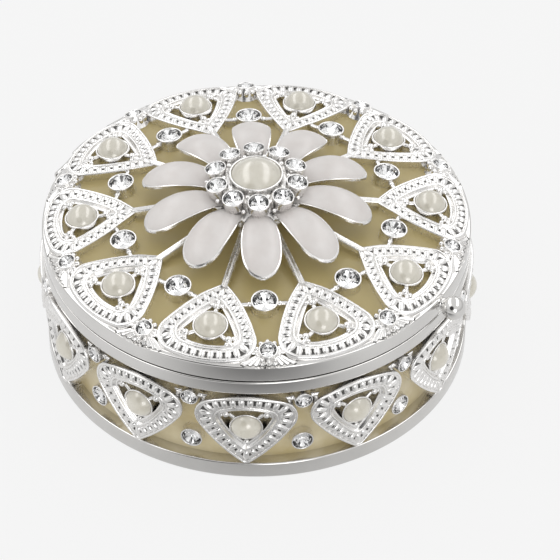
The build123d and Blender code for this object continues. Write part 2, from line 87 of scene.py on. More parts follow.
LID_STRUT_ENDS = [(0, 4.4), (3.5, -2.3), (-3.5, -2.3)]
LID_PRONGS = [(0, 3.15), (2.75, -1.6), (-2.75, -1.6)]
BODY_STRUT_ENDS = [(0, -3.9), (3.4, 2.9), (-3.4, 2.9)]
BODY_PRONGS = [(0, -2.75), (2.55, 2.0), (-2.55, 2.0)]
SIDE_PRONG_R, SIDE_PRONG_AWAY, SIDE_PRONG_OUT = 0.34, 0.62, 0.28
PLINTH_R, PLINTH_BALL_R, PLINTH_DROP, PLINTH_BALLS = 1.42, 0.34, 0.75, 10
SKIRT_TOP_R, SKIRT_TOP_Z, SKIRT_TOP_HALF, SKIRT_FOOT_R, SKIRT_FOOT_HALF = 26.4, 20.1, 1.3, 27.3, 3.6
SKIRT_THICK, SKIRT_RELIEF, SKIRT_FLUTES = 0.4, 0.13, 9

# Flower
PETALS = 10
PETAL_ROOT_R, PETAL_TIP_R, PETAL_HALF, PETAL_WIDEST = 5.0, 15.2, 2.55, 0.62
PETAL_FLAT_Z, PETAL_CREST_R, PETAL_CREST_Z, PETAL_TIP_Z = 24.3, 10.3, 25.5, 22.75
PETAL_THICK, ENAMEL_THICK, ENAMEL_INSET, PETAL_CAMBER = 0.35, 0.24, 0.13, 0.5
HUB_R, HUB_WAIST_R = 5.0, 3.2
RIB_HALF, RIB_IN_R, RIB_OUT_R, RIB_IN_Z, RIB_OUT_Z = 0.46, 4.2, 16.0, 23.3, 21.6
CROWN_BASE_R, CROWN_BASE_TOP = 4.6, 25.9
BEZEL_R, BEZEL_BORE_R, BEZEL_TOP, CENTRE_PEARL_R, CENTRE_PEARL_RISE = 3.5, 3.2, 27.3, 3.2, 1.55
CROWN_BEADS = [(0.36, 4.15, 26.55), (0.3, 6.35, 26.0)]    # radius, ring, height

# Thumb ball
BALL_R, BALL_Y, BALL_Z, NECK_R, NECK_END_R = 1.55, -29.5, 18.45, 0.8, 27.5

# Hinge
HINGE_Y, HINGE_Z, KNUCKLE_R, PIN_R, PIN_CLEAR, PIN_DOME = 28.25, 16.8, 0.75, 0.4, 0.04, 0.12
KNUCKLE_IN, KNUCKLE_OUT, LID_KNUCKLE_HALF, KNUCKLE_EDGE, KNUCKLE_CLEAR_R = 1.6, 4.4, 1.5, 0.12, 0.87
LEAF_R, LEAF_EDGE, BASE_LEAF_LOW, BASE_LEAF_TOP, LID_LEAF_LOW, LID_LEAF_TOP = (
    28.15, 0.2, 14.85, 16.5, 17.1, 19.1)

# Camera, as an azimuth and elevation about the point it aims at
CAMERA_AZIMUTH, CAMERA_ELEVATION, CAMERA_DISTANCE = -57.5, 42.217, 450.0
CAMERA_AIM, CAMERA_LENS = (0.87, -3.04, 9.64), 221.07
BACKGROUND = (0.922, 0.922, 0.922, 1)

# What the metal, the glass and the gloss reflect. A shade is (from, to, value there, value there).
FLOOR_HALF, FLOOR_CARD_AWAY, FLOOR_SHADE = 3000.0, 75.0, (0.004, 0.045, 0.28, 0.86)    # metres from the card
SKY_SHADE = (0.0, 0.5, 0.6, 0.9)
STRIP_INNER, STRIP_OUTER = (0.36, 0.52, 0.0, 1.7), (0.85, 1.05, 1, 0)
STRIP_END, STRIP_FOOT = (-0.5, -0.2, 0, 1), (0.25, 0.45, 0, 1)

# Azimuth from the camera, elevation, and a shade by the cosine of the angle from there
DARK_GAP, WINDOW = (-25, 36, 0.92, 0.96, 1.0, 0.06), (14, 14, 0.955, 0.985, 0.0, 2.6)
FILL = 0.98    # even light on everything that isn't a mirror


# ---- mesh making ----

class Shape:
    """Closed surfaces gathered into one mesh: points in millimetres, faces and their material slots."""

    def __init__(self):
        self.points, self.faces, self.slots, self.count = [], [], [], 0

    def add(self, surface, matrix=None):
        """Add a (points, faces) or (points, faces, slots) surface, moved by a matrix."""
        points, faces, *slots = surface
        self.points.append(points if matrix is None else moved(points, matrix))
        self.faces += [tuple(i + self.count for i in face) for face in faces]
        self.slots += slots[0] if slots else [0] * len(faces)
        self.count += len(points)
        return self

    def repeat(self, surfaces, turns, place=Matrix.Identity(4)):
        """Add the surfaces at a place, once for each turn about Z."""
        for spin in turns:
            for surface in surfaces:
                self.add(surface, spin @ place)
        return self

    def surface(self):
        return np.concatenate(self.points), self.faces, self.slots


def moved(points, matrix):
    m = np.array(matrix)
    return points @ m[:3, :3].T + m[:3, 3]


def turn_z(angle):
    return Matrix.Rotation(radians(angle), 4, "Z")


def around(count, start=0.0):
    """Turns about Z for pieces that repeat round the box, the first one at the front."""
    return [turn_z(start + i * 360.0 / count) for i in range(count)]


def between(count):
    """The turns halfway between those of around."""
    return around(count, 180.0 / count)


def on_lid(ring_r, height, tilt):
    """Place on the lid in front of the centre, with its Z leaning outwards."""
    return Matrix.Translation((0, -ring_r, height)) @ Matrix.Rotation(radians(tilt), 4, "X")


def on_body(ring_r, height):
    """Place on the body in front of the centre, with its Z pointing outwards and Y up."""
    return Matrix.Translation((0, -ring_r, height)) @ Matrix.Rotation(radians(90), 4, "X")


LID_PEARL_PLACE = on_lid(LID_PEARL_RING, LID_PEARL_Z, LARGE_TILT)
LARGE_PLACE, RIM_PLACE = on_lid(LARGE_RING, LARGE_Z, LARGE_TILT), on_lid(RIM_RING, RIM_Z, RIM_TILT)
CROWN_PLACE = on_lid(CROWN_RING, CROWN_Z, CROWN_TILT)
BODY_PEARL_PLACE, UPPER_PLACE = on_body(BODY_PEARL_RING, BODY_PEARL_Z), on_body(UPPER_RING, UPPER_Z)
LOWER_PLACE = on_body(LOWER_RING, LOWER_Z)


def loop_grid(rows, columns, close_rows, close_columns):
    """Quads of a grid of points, row by row, joined up at the ends where asked."""
    faces = []
    for i in range(rows if close_rows else rows - 1):
        for j in range(columns if close_columns else columns - 1):
            k, n = (i + 1) % rows, (j + 1) % columns
            faces.append((i * columns + j, i * columns + n, k * columns + n, k * columns + j))
    return faces


def lathe(profile, segments):
    """Solid of revolution about Z: a plug if the profile starts and ends on the axis, a ring if not."""
    profile = np.array(profile, float)
    plug = profile[0, 0] == 0 and profile[-1, 0] == 0
    rows = profile[1:-1] if plug else profile
    turns = np.arange(segments) * 2 * pi / segments
    points = np.stack([
        np.outer(rows[:, 0], np.cos(turns)), np.outer(rows[:, 0], np.sin(turns)),
        np.outer(rows[:, 1], np.ones(segments)),
    ], -1).reshape(-1, 3)
    faces = loop_grid(len(rows), segments, not plug, True)
    if plug:
        first, last = len(points), len(points) + 1
        points = np.concatenate([points, [(0, 0, profile[0, 1]), (0, 0, profile[-1, 1])]])
        end = (len(rows) - 1) * segments
        for j in range(segments):
            n = (j + 1) % segments
            faces += [(first, n, j), (last, end + j, end + n)]
    return points, faces


def rounded(corners, radius, steps=5):
    """Closed outline with each corner rounded by the radius, or by the corner's own third value."""
    out = []
    for i, corner in enumerate(corners):
        here = Vector(corner[:2])
        size = corner[2] if len(corner) > 2 else radius
        if size == 0:
            out.append(tuple(here))
            continue
        back = (Vector(corners[i - 1][:2]) - here).normalized()
        on = (Vector(corners[(i + 1) % len(corners)][:2]) - here).normalized()
        half = back.angle(on) / 2
        centre = here + (back + on).normalized() * size / sin(half)
        first = here + back * size / np.tan(half) - centre
        last = here + on * size / np.tan(half) - centre
        for step in range(steps + 1):
            out.append(tuple(centre + first.slerp(last, step / steps).normalized() * size))
    return out


def arc(centre, radius, start, end, steps):
    """Points of an arc between two angles in degrees."""
    angles = np.radians(np.linspace(start, end, steps + 1))
    return [(centre[0] + radius * cos(a), centre[1] + radius * sin(a)) for a in angles]


def pillow(half, squareness):
    """Bead with the given half sizes, squarer in plan than a ball the further squareness is below 1."""
    points, faces = ball((1, 1, 1), 12)
    flat = np.hypot(points[:, 0], points[:, 1])
    angle = np.arctan2(points[:, 1], points[:, 0])
    c, s = np.cos(angle), np.sin(angle)
    points[:, 0] = flat * np.sign(c) * np.abs(c) ** squareness
    points[:, 1] = flat * np.sign(s) * np.abs(s) ** squareness
    return points * np.array(half), faces


def ball(half, segments, rings=6):
    """Ellipsoid with the given half sizes."""
    profile = [(sin(pi * i / rings), -cos(pi * i / rings)) for i in range(rings + 1)]
    profile[0], profile[-1] = (0, -1), (0, 1)
    points, faces = lathe(profile, segments)
    return points * np.array(half), faces


def ball_at(place, radius, segments=12, rings=6):
    points, faces = ball((radius, radius, radius), segments, rings)
    return points + np.array(place), faces


def bar(start, end, outline):
    """Straight bar with a closed (across, up) outline, between two points."""
    start, end = Vector(start), Vector(end)
    along = (end - start).normalized()
    across = along.cross(Vector((0, 0, 1)))
    across = across.normalized() if across.length > 1e-6 else Vector((1, 0, 0))
    up = across.cross(along)
    rings = [[p + across * a + up * b for a, b in outline] for p in (start, end)]
    count = len(outline)
    faces = loop_grid(2, count, False, True) + [tuple(range(count)), tuple(range(count, 2 * count))]
    return np.array([tuple(v) for ring in rings for v in ring]), faces


def rod(start, end, radius):
    """Straight round bar with twelve sides."""
    return bar(start, end, arc((0, 0), radius, 0, 360, 12)[:-1])


def slab(upper, lower):
    """Closed surface from two grids of points and the wall between their edges."""
    rows, columns = upper.shape[:2]
    top_faces = loop_grid(rows, columns, False, False)
    count = rows * columns
    faces = top_faces + [tuple(i + count for i in face[::-1]) for face in top_faces]
    rim = [(i, 0) for i in range(rows)] + [(rows - 1, j) for j in range(1, columns)]
    rim += [(i, columns - 1) for i in range(rows - 2, -1, -1)] + [(0, j) for j in range(columns - 2, 0, -1)]
    edge = [i * columns + j for i, j in rim]
    for a, b in zip(edge, edge[1:] + edge[:1]):
        faces.append((a, b, b + count, a + count))
    return np.concatenate([upper.reshape(-1, 3), lower.reshape(-1, 3)]), faces


def make_piece(name, shape, materials, body, replaced, smooth_below=50):
    """Blender object from a shape: smooth except over edges sharper than the given angle."""
    points, faces, slots = shape.surface()
    mesh = bpy.data.meshes.new(name)
    mesh.from_pydata((points * MM).tolist(), [], faces)
    for item in materials:
        mesh.materials.append(item)
    mesh.polygons.foreach_set("material_index", slots)
    work = bmesh.new()
    work.from_mesh(mesh)
    bmesh.ops.recalc_face_normals(work, faces=work.faces)
    work.to_mesh(mesh)
    work.free()
    if smooth_below:
        mesh.polygons.foreach_set("use_smooth", [True] * len(mesh.polygons))
        mesh.set_sharp_from_angle(angle=radians(smooth_below))
    piece = bpy.data.objects.new(name, mesh)
    bpy.context.scene.collection.objects.link(piece)
    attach(piece, body)
    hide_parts(*replaced)


# ---- shader nodes and materials ----

def set_inputs(tree, node, inputs):
    """Set a node's inputs, or link them where the value is another node's output."""
    for name, value in inputs.items():
        socket = node.inputs[name.replace("_", " ")]
        if isinstance(value, bpy.types.NodeSocket):
            tree.links.new(value, socket)
        else:
            socket.default_value = value


def new_node(tree, kind, **inputs):
    node = tree.nodes.new("ShaderNode" + kind)
    set_inputs(tree, node, inputs)
    return node


def set_surface(material, **inputs):
    tree = material.node_tree
    set_inputs(tree, tree.nodes["Principled BSDF"], inputs)


def new_material(name, **inputs):
    """Principled material with the inputs that are the same all over the surface."""
    material = bpy.data.materials.new(name)
    material.use_nodes = True
    set_surface(material, **inputs)
    return material


def math(tree, operation, first, second=None, kind="Math"):
    """Number from a math node, where the second value is an output, a direction or not needed."""
    node = new_node(tree, kind)
    node.operation = operation
    tree.links.new(first, node.inputs[0])
    if isinstance(second, Vector):
        node.inputs[1].default_value = second
    elif second is not None:
        tree.links.new(second, node.inputs[1])
    return node.outputs["Value"]


def noise(material, size, detail=3.0, stretch=(1, 1, 1)):
    """Noise over the piece, with features about size millimetres wide."""
    tree = material.node_tree
    place = new_node(tree, "TexCoord").outputs["Object"]
    scaled = new_node(tree, "Mapping", Vector=place, Scale=stretch).outputs["Vector"]
    return new_node(tree, "TexNoise", Vector=scaled, Scale=1 / (size * MM), Detail=detail).outputs["Fac"]


def map_range(tree, value, start, end, low, high, kind="SMOOTHSTEP"):
    """From low to high as the value runs from start to end."""
    node = new_node(tree, "MapRange", Value=value, From_Min=start, From_Max=end, To_Min=low, To_Max=high)
    node.interpolation_type = kind
    return node.outputs["Result"]


def spread(material, value, low, high, start=0.3, end=0.7):
    """The value's middle part mapped to a range."""
    return map_range(material.node_tree, value, start, end, low, high, "LINEAR")


def vary_color(material, value, first, second, start=0.3, end=0.7):
    """Base colour that runs from the first to the second with the value."""
    node = new_node(material.node_tree, "ValToRGB", Fac=value)
    for element, position, color in zip(node.color_ramp.elements, (start, end), (first, second)):
        element.position, element.color = position, (*color, 1)
    set_surface(material, Base_Color=node.outputs["Color"])


def vary_roughness(material, value, low, high):
    set_surface(material, Roughness=spread(material, value, low, high))


def add_bump(material, heights):
    """Relief from (value, height in millimetres) pairs, one on top of the other."""
    below = {}
    for value, height in heights:
        bump = new_node(material.node_tree, "Bump", Height=value, Distance=height * MM, **below)
        below = {"Normal": bump.outputs["Normal"]}
    set_surface(material, **below)


def polished_silver():
    """Bright plated bands: a slow ripple in the metal, fine polishing marks and a little haze."""
    made = new_material("polished_silver", Metallic=1.0)
    vary_color(made, noise(made, 7.0), (0.67, 0.66, 0.645), (0.73, 0.72, 0.705))
    vary_roughness(made, noise(made, 2.5, 5.0), 0.05, 0.13)
    add_bump(made, [(noise(made, 9.0, 1.0), 0.05), (noise(made, 0.5, 4.0, (1, 1, 7)), 0.0015)])
    return made


def cast_silver():
    """Plated castings: softer edges and a fine cast grain."""
    made = new_material("cast_silver", Metallic=1.0)
    vary_color(made, noise(made, 1.6, 4.0), (0.80, 0.79, 0.775), (0.91, 0.90, 0.89))
    vary_roughness(made, noise(made, 0.8, 5.0), 0.19, 0.31)
    add_bump(made, [(noise(made, 0.9, 2.0), 0.02), (noise(made, 0.12, 3.0), 0.002)])
    return made


def painted_shade_silver():
    """Painted shade: silver darkened at the bottom of the beaded channels and along the skirts' feet, where
    shade falls.
    """
    made = new_material("painted_shade_silver", Metallic=0.6)
    vary_color(made, noise(made, 0.6, 4.0), (0.04, 0.039, 0.037), (0.15, 0.146, 0.138))
    vary_roughness(made, noise(made, 0.5), 0.3, 0.5)
    add_bump(made, [(noise(made, 0.25), 0.01)])
    return made


def painted_light_inside(material, value, near, far):
    """Painted light: from 1 near the Z axis to 0 far from it, both distances in millimetres, clouded by the
    value, to lighten the lacquer where the petals shade it.
    """
    tree = material.node_tree
    place = new_node(tree, "TexCoord").outputs["Object"]
    flat = new_node(tree, "Mapping", Vector=place, Scale=(1, 1, 0)).outputs["Vector"]
    from_axis = math(tree, "LENGTH", flat, kind="VectorMath")
    painted_lift = spread(material, from_axis, 1.0, 0.0, near * MM, far * MM)
    return math(tree, "ADD", painted_lift, spread(material, value, -0.1, 0.1))


def gold_lacquer(name, first, second, cloud, painted_light_span=None):
    """Glossy olive gold lacquer with orange peel, and clouds of a size in millimetres.

    The last argument gives the distances from the Z axis between which it runs from the second colour to the
    first: painted light, lighter towards the middle where the petals shade the liner.
    """
    made = new_material(name, Coat_Weight=0.15, Coat_Roughness=0.1)
    clouds = noise(made, cloud, 4.0)
    if painted_light_span:
        # painted light: lighter towards the middle, where the petals shade the liner
        vary_color(made, painted_light_inside(made, clouds, *painted_light_span), first, second, 0.0, 1.0)
    else:
        vary_color(made, clouds, first, second)
    vary_roughness(made, noise(made, 4.0, 4.0), 0.28, 0.36)
    add_bump(made, [(noise(made, 3.0, 2.0), 0.006), (noise(made, 0.35, 2.0), 0.0008)])
    return made


def pearl_glaze():
    """Cream imitation pearl: a soft body under a clear nacre coat."""
    made = new_material("pearl_glaze", Coat_Weight=1.0, Coat_Roughness=0.12, Coat_IOR=1.9)
    vary_color(made, noise(made, 1.4, 3.0), (0.58, 0.545, 0.455), (0.65, 0.62, 0.535))
    vary_roughness(made, noise(made, 0.9, 4.0), 0.25, 0.36)
    add_bump(made, [(noise(made, 0.7, 3.0), 0.003)])
    return made


def white_enamel():
    """Satin white enamel with a warm pearly cloud and faint flow lines."""
    made = new_material("white_enamel", Coat_Weight=0.25, Coat_Roughness=0.2)
    vary_color(made, noise(made, 2.6, 3.0), (0.66, 0.62, 0.595), (0.72, 0.69, 0.67))
    vary_roughness(made, noise(made, 1.0, 4.0), 0.3, 0.45)
    add_bump(made, [(noise(made, 1.8, 2.0), 0.012), (noise(made, 0.2, 3.0), 0.0012)])
    return made


def crystal_glass():
    """Clear glass of the stones' crowns, with the faintest tumbling marks."""
    made = new_material("crystal_glass", Base_Color=(1, 1, 1, 1), IOR=1.55, Transmission_Weight=1.0)
    vary_roughness(made, noise(made, 0.4, 3.0), 0.0, 0.04)
    return made


def stone_foil():
    """Mirror foil on the backs of the stones."""
    made = new_material("stone_foil", Metallic=1.0)
    vary_color(made, noise(made, 0.8, 3.0), (0.93, 0.93, 0.93), (0.98, 0.98, 0.98))
    vary_roughness(made, noise(made, 0.6), 0.02, 0.06)
    return made


def steel_pin():
    made = new_material("steel_pin", Metallic=1.0)
    vary_color(made, noise(made, 0.8, 4.0), (0.48, 0.48, 0.47), (0.62, 0.62, 0.61))
    vary_roughness(made, noise(made, 0.5, 4.0, (0.2, 1, 1)), 0.22, 0.38)
    add_bump(made, [(noise(made, 0.2, 3.0, (8, 1, 1)), 0.002)])
    return made


# ---- rings and liners ----

def make_foot_ring():
    outline = rounded([
        (FOOT_BORE_R, 0, 0.15), (FOOT_R, 0, 0.3), (FOOT_R, FOOT_TOP, 0.25), (FOOT_BORE_R, FOOT_TOP, 0.1),
    ], 0.2)
    return Shape().add(lathe(outline, 360))


def make_base_rim():
    outline = rounded([
        (LINER_R, BASE_RIM_LOW, 0.05), (RIM_R, BASE_RIM_LOW, 0.28), (RIM_R, BASE_RIM_TOP, 0.22),
        (COLLAR_R, BASE_RIM_TOP, 0.1), (COLLAR_R, COLLAR_TOP, 0.2), (FOOT_BORE_R, COLLAR_TOP, 0.2),
        (FOOT_BORE_R, LINER_TOP, 0.1), (LINER_R, LINER_TOP, 0.1),
    ], 0.1)
    return Shape().add(lathe(outline, 360))


def scooped(points):
    """Lower the lid rim's shoulder into the hollow that each rim stone stands in."""
    angles = np.degrees(np.arctan2(points[:, 0], -points[:, 1]))
    step = 360.0 / LID_FRAMES
    off = np.radians(angles % step - step / 2)
    sideways = np.clip(np.hypot(points[:, 0], points[:, 1]) * np.sin(off), -SCOOP_HALF, SCOOP_HALF)
    out = points.copy()
    above = points[:, 2] > LEDGE_TOP
    out[:, 2] = np.where(above, np.minimum(points[:, 2], rim_hollow(sideways)), points[:, 2])
    return out


def make_lid_rim():
    outline = rounded([
        (LID_BORE_R, LID_LOW, 0.1), (RIM_R, LID_LOW, 0.25), (RIM_R, LID_BAND_TOP, 0.28),
        (LID_LINER_R, LID_BAND_TOP + SHOULDER_RISE, 0.12), (LID_LINER_R, LEDGE_TOP, 0.05),
        (LEDGE_BORE_R, LEDGE_TOP, 0.1), (LEDGE_BORE_R, LEDGE_LOW, 0.1), (LID_BORE_R, LEDGE_LOW, 0.05),
    ], 0.1)
    points, faces = lathe(outline, 720)
    return Shape().add((scooped(moved(points, turn_z(180.0 / LID_FRAMES))), faces))


def make_lid_liner():
    return Shape().add(lathe([
        (0, LID_FLAT_TOP), (LID_FLAT_R - 1.2, LID_FLAT_TOP), (LID_FLAT_R - 0.4, LID_FLAT_TOP - 0.02),
        (LID_FLAT_R + 0.4, LID_FLAT_TOP - 0.085), (LID_LINER_R, LID_EDGE_TOP), (LID_LINER_R, LEDGE_TOP),
        (LEDGE_BORE_R, LEDGE_TOP), (LEDGE_BORE_R, LEDGE_TOP + 0.2),
        (LID_FLAT_R, LID_FLAT_TOP - LID_LINER_WALL), (0, LID_FLAT_TOP - LID_LINER_WALL),
    ], 240))


# ---- openwork frames ----

def triangle_outline(half, apex_round, corner_round, legs, turns):
    """Points (side, along) of a rounded triangle where its outline has turned by the given degrees."""
    joins = np.radians([0, *legs, CORNER_END, 180])
    s, c = np.sin(joins), np.cos(joins)
    leg = (half - apex_round * s[1] - corner_round * (1 - s[2])) / (s[2] - s[1])
    base = (apex_round * s[1] + leg * (s[2] - s[1]) + corner_round * (s[3] - s[2])) / s[3]
    radii = np.array([apex_round, leg, corner_round, base])
    side_at = np.concatenate([[0], np.cumsum(radii * np.diff(s))])
    along_at = np.concatenate([[0], np.cumsum(-radii * np.diff(c))])
    turns = np.asarray(turns, float) % 360
    mirrored = turns > 180
    t = np.radians(np.where(mirrored, 360 - turns, turns))
    i = np.clip(np.searchsorted(joins, t, side="right") - 1, 0, 3)
    side = side_at[i] + radii[i] * (np.sin(t) - s[i])
    along = along_at[i] + radii[i] * (c[i] - np.cos(t))
    return np.stack([np.where(mirrored, -side, side), along], -1)


def frame_edges(edges, turns):
    """Outer and inner edge of a frame's band at the given turns."""
    half, legs, hole_half, hole_from_apex, hole_stretch = edges
    outer = triangle_outline(half, APEX_ROUND, CORNER_ROUND, legs, turns)
    inner = triangle_outline(hole_half, HOLE_APEX_ROUND, HOLE_CORNER_ROUND, LEGS, turns)
    inner[:, 1] = inner[:, 1] * hole_stretch + hole_from_apex
    return outer, inner


def frame_turns():
    """Turns of the band's cross-sections, closer together where the outline bends."""
    start, end = BODY_LEGS[0], LEGS[1]
    stops = [(0, start, 5), (start, end, 16), (end, CORNER_END, 16), (CORNER_END, 180, 9)]
    right = np.concatenate([np.linspace(a, b, n, endpoint=False) for a, b, n in stops])
    return np.concatenate([right, [180.0], 360 - right[:0:-1]])


def band_section(depth):
    """Cross-section of the band from its outer foot over the top, as (from, distance, height, painted shade).

    Distances are from the outer or the inner edge, or are shares counted from a wall of the groove.
    """
    wire = [("outer", x, y, 0) for x, y in arc((WIRE_R, -WIRE_R), WIRE_R, 180, 0, 6)]
    lip = [("inner", x, y, 0) for x, y in arc((LIP_AWAY, -LIP_DROP - LIP_R), LIP_R, 0, 180, 6)]
    low_lip = arc((-LOW_LIP_R, -LOW_LIP_DROP - LOW_LIP_R), LOW_LIP_R, 30, 180, 6)
    return [
        ("outer", 0.03, -depth, 0), ("outer", 0.0, -0.5, 0), *wire,
        ("outer", 2 * WIRE_R + CHANNEL_SLOPE, -CHANNEL_DROP, 0),
        ("first", 0.0, -CHANNEL_DROP, 1), ("first", GROOVE_WALL, -GROOVE_DROP, 1),
        ("second", -GROOVE_WALL, -GROOVE_DROP, 1), ("second", 0.0, -CHANNEL_DROP, 0),
        ("inner", LIP_AWAY + LIP_R + CHANNEL_SLOPE, -CHANNEL_DROP, 0), *lip,
        *(("inner", x, y, 0) for x, y in low_lip),
        ("inner", -2 * LOW_LIP_R + 0.08, -0.9, 0), ("inner", -2 * LOW_LIP_R + 0.1, -depth, 0),
    ]


def frame_band(edges, depth):
    """The band of a frame laid flat: X to the side, Y from the apex, Z up from its top."""
    turns = frame_turns()
    outer, inner = frame_edges(edges, turns)
    across = inner - outer
    width = np.linalg.norm(across, axis=1)
    wide = np.clip((np.minimum(turns, 360 - turns) - GROOVE_TURN + GROOVE_BLEND) / GROOVE_BLEND, 0, 1)
    groove = [low + (high - low) * wide for low, high in zip(LEG_GROOVE, WIDE_GROOVE)]
    rows, slots = [], []
    for edge, distance, height, painted_shade in band_section(depth):
        share = {
            "outer": distance / width, "inner": 1 - distance / width,
            "first": groove[0] + distance, "second": groove[1] + distance,
        }[edge]
        flat = outer + across * share[:, None]
        rows.append(np.column_stack([flat, np.full(len(turns), height)]))
        # faces that start at a row marked 1 go in the second slot: the groove's walls and floor painted dark
        # as shade
        slots += [painted_shade] * len(turns)
    return np.concatenate(rows), loop_grid(len(rows), len(turns), True, True), slots


def bead_turns(edges):
    """Turns of the beads, evenly spaced round the band."""
    turns = np.linspace(0, 360, 1801)
    outer, inner = frame_edges(edges, turns)
    path = outer + (inner - outer) * BEAD_ROW
    run = np.concatenate([[0], np.cumsum(np.linalg.norm(np.diff(path, axis=0), axis=1))])
    count = round(run[-1] / BEAD_PITCH)
    return np.interp(np.arange(count) * run[-1] / count, run, turns)


def frame_beads(edges):
    """Row of beads that fill the band's channel, with a gap between each two, laid flat."""
    shape = Shape()
    turns = bead_turns(edges)
    outer, inner = frame_edges(edges, turns)
    for start, across, turn in zip(outer, inner - outer, turns):
        bead = pillow((BEAD_ALONG, BEAD_ACROSS * hypot(*across), BEAD_UP), BEAD_SQUARE)
        place = Matrix.Translation((*(start + across * BEAD_ROW), BEAD_TOP - BEAD_UP))
        shape.add(bead, place @ turn_z(turn))
    return shape.surface()


def bent_frame(edges, depth, bend):
    """Band and beads of a frame, bent into place in front of the centre."""
    flat = frame_band(edges, depth), frame_beads(edges)
    return [(bend(points), *rest) for points, *rest in flat]


def lid_top(radius):
    """Height of the lid frames' top above the table."""
    return np.interp(radius, [0, LID_FLAT_R, FRAME_DIP_R, RIM_R],
                     [FRAME_TOP, FRAME_TOP, FRAME_DIP_TOP, FRAME_EDGE_TOP])


def lay_on_lid(points):
    """Bend a flat frame onto the lid, apex towards the flower."""
    x, y = points[:, 0], -(LID_APEX_R + points[:, 1])
    return np.column_stack([x, y, lid_top(np.hypot(x, y)) + points[:, 2]])


def lay_on_body(points):
    """Bend a flat frame round the body, apex down."""
    angle = points[:, 0] / BODY_FRAME_R
    radius = BODY_FRAME_R + points[:, 2]
    return np.column_stack([radius * np.sin(angle), -radius * np.cos(angle), BODY_APEX_Z + points[:, 1]])


# ---- settings, stones and pearls ----

def round_cup(cup_r, bore_r, depth, flare):
    """Bezel with a rounded edge at Z = 0 and a flat-bottomed bore; flare widens its foot."""
    edge = (cup_r - bore_r) / 2
    lip = arc((bore_r + edge, -edge * 0.6), edge, 0, 180, 6)
    floor = -0.66 * bore_r - STONE_SET
    profile = [(0, -depth), (cup_r + flare, -depth), (cup_r + flare * 0.3, -depth * 0.5)] + lip
    profile += [(bore_r, floor), (0, floor)]
    return lathe(profile, 28)


def brilliant(radius):
    """Round brilliant with its girdle at Z = 0: faces in slot 0 are the crown, in slot 1 the foiled back."""
    table_r, table_z, star_r = 0.56, 0.33, 0.80
    culet_z, girdle, lower_r = -0.6, -0.06, 0.3
    eighth = cos(pi / 8)
    star_z = table_z * (1 - star_r * eighth) / (1 - table_r)
    lower_z = culet_z + (girdle - culet_z) * lower_r * eighth

    def ring(r, z, count, phase):
        return [(r * cos(2 * pi * (i + phase) / count), r * sin(2 * pi * (i + phase) / count), z)
                for i in range(count)]

    points = ring(table_r, table_z, 8, 0) + ring(star_r, star_z, 8, 0.5) + ring(1, 0, 16, 0)
    points += ring(1, girdle, 16, 0) + ring(lower_r, lower_z, 8, 0.5) + [(0, 0, culet_z)]
    table, star, upper, under, lower, culet = 0, 8, 16, 32, 48, 56
    faces, slots = [tuple(range(8))], [0]
    for i in range(8):
        n, b = (i + 1) % 8, (i - 1) % 8
        g, h, k = 2 * i, 2 * i + 1, (2 * i + 2) % 16
        crown = [
            (table + i, star + i, table + n), (table + i, star + b, upper + g, star + i),
            (star + i, upper + g, upper + h), (star + i, upper + h, upper + k),
        ]
        back = [
            (upper + g, upper + h, under + h, under + g), (upper + h, upper + k, under + k, under + h),
            (lower + i, under + g, under + h), (lower + i, under + h, under + k),
            (culet, lower + b, under + g, lower + i),
        ]
        faces += crown + back
        slots += [0] * len(crown) + [1] * len(back)
    return np.array(points) * radius, faces, slots


def dome(radius, rise, depth, segments=40):
    """Half pearl: a dome above Z = 0 with a straight foot below it."""
    ball_r = (radius**2 + rise**2) / (2 * rise)
    top = degrees(asin(radius / ball_r))
    side = 90 - top if rise <= ball_r else top - 90
    cap = arc((0, rise - ball_r), ball_r, side, 90, 12)
    cap[-1] = (0, rise)
    return lathe([(0, -depth), (radius, -depth)] + cap, segments)


def pearl_setting(radius, depth, ends, prongs):
    """Bezel for a pearl, three struts to the frame, and a cluster of balls where each of them lands."""
    shape = Shape()
    bore_r, cup_r = radius + 0.01, radius + PEARL_WALL
    edge = arc(((bore_r + cup_r) / 2, -0.04), (cup_r - bore_r) / 2, 0, 180, 6)
    outside = [(0, -depth), (cup_r, -depth), (cup_r, -0.3)]
    shape.add(lathe(outside + edge + [(bore_r, -PEARL_SEAT), (0, -PEARL_SEAT)], 36))
    for x, y in ends:
        reach = (cup_r - 0.2) / hypot(x, y)
        shape.add(rod((x * reach, y * reach, -STRUT_DROP), (x, y, -STRUT_DROP - 0.1), STRUT_R))
    for x, y in prongs:
        shape.add(ball_at((x, y, -STRUT_DROP + 0.12), PRONG_R, 14, 8))
        out = Vector((x, y, 0)).normalized()
        middle = Vector((x, y, -STRUT_DROP - 0.05)) + out * SIDE_PRONG_OUT
        for way in (-SIDE_PRONG_AWAY, SIDE_PRONG_AWAY):
            shape.add(ball_at(middle + Vector((-out.y, out.x, 0)) * way, SIDE_PRONG_R, 10))
    return shape.surface()


def rim_hollow(sideways):
    """Height of the hollow in the lid rim's shoulder, at a distance from its middle."""
    return LID_BAND_TOP - SCOOP_DEPTH + SCOOP_R - np.sqrt(SCOOP_R**2 - sideways**2)


